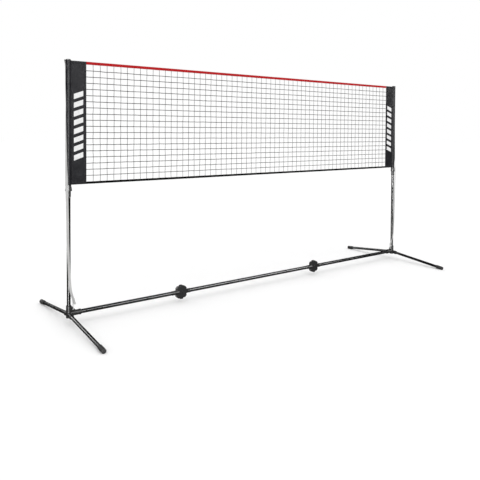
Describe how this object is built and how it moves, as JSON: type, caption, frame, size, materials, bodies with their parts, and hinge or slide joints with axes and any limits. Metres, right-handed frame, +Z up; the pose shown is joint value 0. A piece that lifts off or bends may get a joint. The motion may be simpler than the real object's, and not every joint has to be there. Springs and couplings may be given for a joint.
{
  "type": "portable badminton net",
  "caption": "Free-standing black frame with telescoping posts, twist collars and a folding ground bar, carrying a netting panel with red top tape and dark side bands.",
  "frame": {"origin": "on the floor, midway between the two posts and midway between the front and back leg tips", "axes": "+X along the net from the left post to the right post, +Y across the net to the back, +Z up"},
  "size_m": [3.0466, 1.0066, 1.55],
  "materials": {
    "black_tube": "gloss black powder coat on steel tube",
    "joint_plastic": "moulded black, slightly grained",
    "collar_plastic": "moulded black",
    "cap_plastic": "moulded black",
    "bush_plastic": "natural moulded nylon",
    "gear_plastic": "natural moulded nylon",
    "button_plastic": "moulded dark grey",
    "foot_rubber": "soft black end cap",
    "hook_plastic": "white moulded hook",
    "fastener_steel": "blackened steel",
    "spring_steel": "bright spring wire",
    "band_fabric": "charcoal woven polyester",
    "net_cord": "black knotted polyester cord",
    "red_tape": "red woven tape",
    "black_tape": "black woven tape",
    "strap_webbing": "pale grey-white webbing"
  },
  "bodies": {
    "ground_frame": {"left_hub": "joint_plastic", "left_hub_rivets": "fastener_steel", "left_front_leg": "black_tube", "left_back_leg": "black_tube", "left_front_foot": "foot_rubber", "left_back_foot": "foot_rubber", "left_post_lower": "black_tube", "left_post_bush": "bush_plastic", "left_strap": "strap_webbing", "left_strap_hook": "hook_plastic", "left_joint_front_shell": "joint_plastic", "left_joint_rear_shell": "joint_plastic", "left_joint_core": "joint_plastic", "left_joint_spring": "spring_steel", "left_joint_screws": "fastener_steel", "right_hub": "joint_plastic", "right_hub_rivets": "fastener_steel", "right_front_leg": "black_tube", "right_back_leg": "black_tube", "right_front_foot": "foot_rubber", "right_back_foot": "foot_rubber", "right_post_lower": "black_tube", "right_post_bush": "bush_plastic", "right_strap": "strap_webbing", "right_strap_hook": "hook_plastic", "right_joint_front_shell": "joint_plastic", "right_joint_rear_shell": "joint_plastic", "right_joint_core": "joint_plastic", "right_joint_spring": "spring_steel", "right_joint_screws": "fastener_steel", "left_bar": "black_tube", "centre_bar": "black_tube", "right_bar": "black_tube"},
    "left_upper_post": {"left_post_upper": "black_tube", "left_post_cap": "cap_plastic", "left_collar_body": "collar_plastic", "left_collar_collet": "bush_plastic", "left_band": "band_fabric", "netting": "net_cord", "top_tape": "red_tape", "bottom_tape": "black_tape"},
    "right_upper_post": {"right_post_upper": "black_tube", "right_post_cap": "cap_plastic", "right_collar_body": "collar_plastic", "right_collar_collet": "bush_plastic", "right_band": "band_fabric"},
    "left_collar_ring": {"left_lock_ring": "collar_plastic"},
    "right_collar_ring": {"right_lock_ring": "collar_plastic"},
    "left_joint_release": {"left_joint_button": "button_plastic", "left_joint_lock_gear": "gear_plastic"},
    "right_joint_release": {"right_joint_button": "button_plastic", "right_joint_lock_gear": "gear_plastic"}
  },
  "joints": [
    {"name": "left_post_height", "type": "slide", "parent": "ground_frame", "child": "left_upper_post", "axis": [0, 0, 1], "range_m": [-0.67, 0], "deforming": ["left_strap"]},
    {"name": "right_post_height", "type": "slide", "parent": "ground_frame", "child": "right_upper_post", "axis": [0, 0, 1], "range_m": [-0.67, 0], "deforming": ["right_strap"]},
    {"name": "left_collar_twist", "type": "hinge", "parent": "left_upper_post", "child": "left_collar_ring", "pos_m": [-1.5, 0, 0.803], "axis": [0, 0, 1], "range_deg": [-90, 0]},
    {"name": "right_collar_twist", "type": "hinge", "parent": "right_upper_post", "child": "right_collar_ring", "pos_m": [1.5, 0, 0.803], "axis": [0, 0, 1], "range_deg": [0, 90]},
    {"name": "left_joint_button_press", "type": "slide", "parent": "ground_frame", "child": "left_joint_release", "axis": [0, 1, 0], "range_m": [0, 0.004], "stiffness_N_per_m": 700, "springref_m": -0.003, "deforming": ["left_joint_spring"]},
    {"name": "right_joint_button_press", "type": "slide", "parent": "ground_frame", "child": "right_joint_release", "axis": [0, 1, 0], "range_m": [0, 0.004], "stiffness_N_per_m": 700, "springref_m": -0.003, "deforming": ["right_joint_spring"]}
  ],
  "couplings": [
    {"joint": "right_post_height", "follows": "left_post_height", "ratio": 1}
  ]
}
